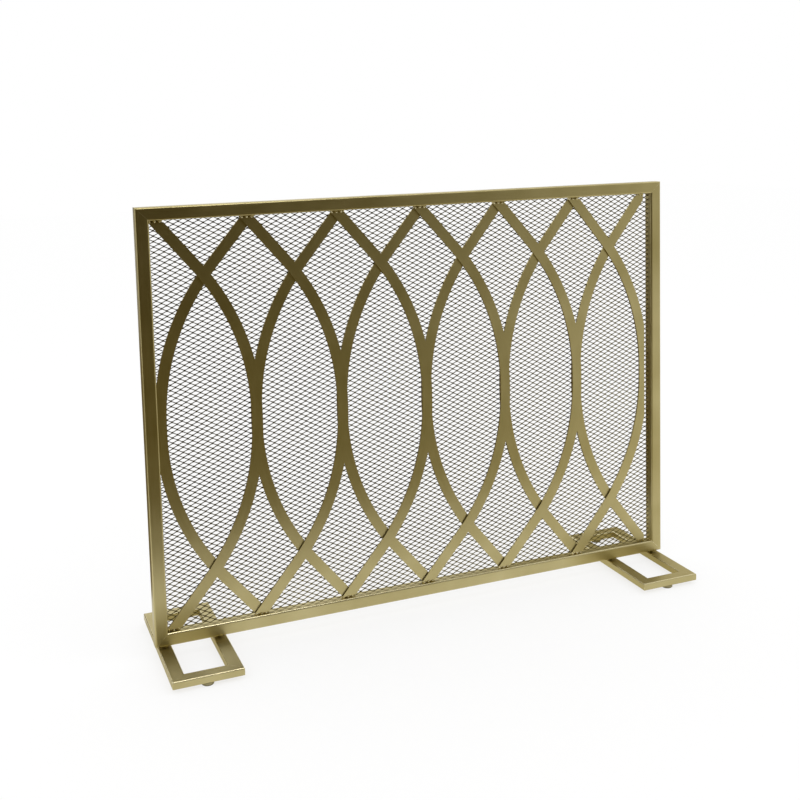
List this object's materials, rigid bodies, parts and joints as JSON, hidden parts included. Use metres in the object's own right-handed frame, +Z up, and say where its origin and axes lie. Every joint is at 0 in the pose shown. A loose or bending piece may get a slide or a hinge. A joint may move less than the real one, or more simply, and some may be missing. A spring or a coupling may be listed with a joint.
{
  "type": "fireplace screen",
  "caption": "Free-standing flat fireplace screen: mitred tube frame holding interlaced flat-bar arcs over a diamond mesh, on loop feet with levelling glides.",
  "frame": {"origin": "middle of the footprint, on the floor under the glides", "axes": "+X along the frame to the right as seen from the front, +Y from the front of the screen towards the fire, +Z up"},
  "size_m": [1, 0.2784, 0.759],
  "materials": {
    "frame_finish": "satin antique-gold metallic paint with fine brushed streaks",
    "arc_finish": "satin antique-gold metallic paint",
    "mesh_finish": "satin antique-gold metallic paint on expanded sheet",
    "foot_finish": "satin antique-gold metallic paint with fine brushed streaks",
    "weld_metal": "painted weld metal",
    "zinc_steel": "zinc-plated steel",
    "glide_finish": "satin dark antique-gold paint"
  },
  "bodies": {
    "screen": {"left_stile": "frame_finish", "right_stile": "frame_finish", "top_rail": "frame_finish", "bottom_rail": "frame_finish", "front_arc_1": "arc_finish", "front_arc_2": "arc_finish", "front_arc_3": "arc_finish", "front_arc_4": "arc_finish", "front_arc_5": "arc_finish", "front_arc_6": "arc_finish", "back_arc_1": "arc_finish", "back_arc_2": "arc_finish", "back_arc_3": "arc_finish", "back_arc_4": "arc_finish", "back_arc_5": "arc_finish", "back_arc_6": "arc_finish", "arc_welds": "weld_metal", "mesh": "mesh_finish", "left_foot_outer_bar": "foot_finish", "left_foot_inner_bar": "foot_finish", "left_foot_front_bar": "foot_finish", "left_foot_rear_bar": "foot_finish", "right_foot_outer_bar": "foot_finish", "right_foot_inner_bar": "foot_finish", "right_foot_front_bar": "foot_finish", "right_foot_rear_bar": "foot_finish", "spacer_washers": "zinc_steel", "foot_bolts": "zinc_steel", "threaded_inserts": "zinc_steel"},
    "left_front_glide_body": {"left_front_glide": "glide_finish"},
    "left_rear_glide_body": {"left_rear_glide": "glide_finish"},
    "right_front_glide_body": {"right_front_glide": "glide_finish"},
    "right_rear_glide_body": {"right_rear_glide": "glide_finish"}
  },
  "joints": [
    {"name": "left_front_glide_screw", "type": "slide", "parent": "screen", "child": "left_front_glide_body", "axis": [0, 0, -1], "range_m": [0, 0.006]},
    {"name": "left_rear_glide_screw", "type": "slide", "parent": "screen", "child": "left_rear_glide_body", "axis": [0, 0, -1], "range_m": [0, 0.006]},
    {"name": "right_front_glide_screw", "type": "slide", "parent": "screen", "child": "right_front_glide_body", "axis": [0, 0, -1], "range_m": [0, 0.006]},
    {"name": "right_rear_glide_screw", "type": "slide", "parent": "screen", "child": "right_rear_glide_body", "axis": [0, 0, -1], "range_m": [0, 0.006]}
  ]
}
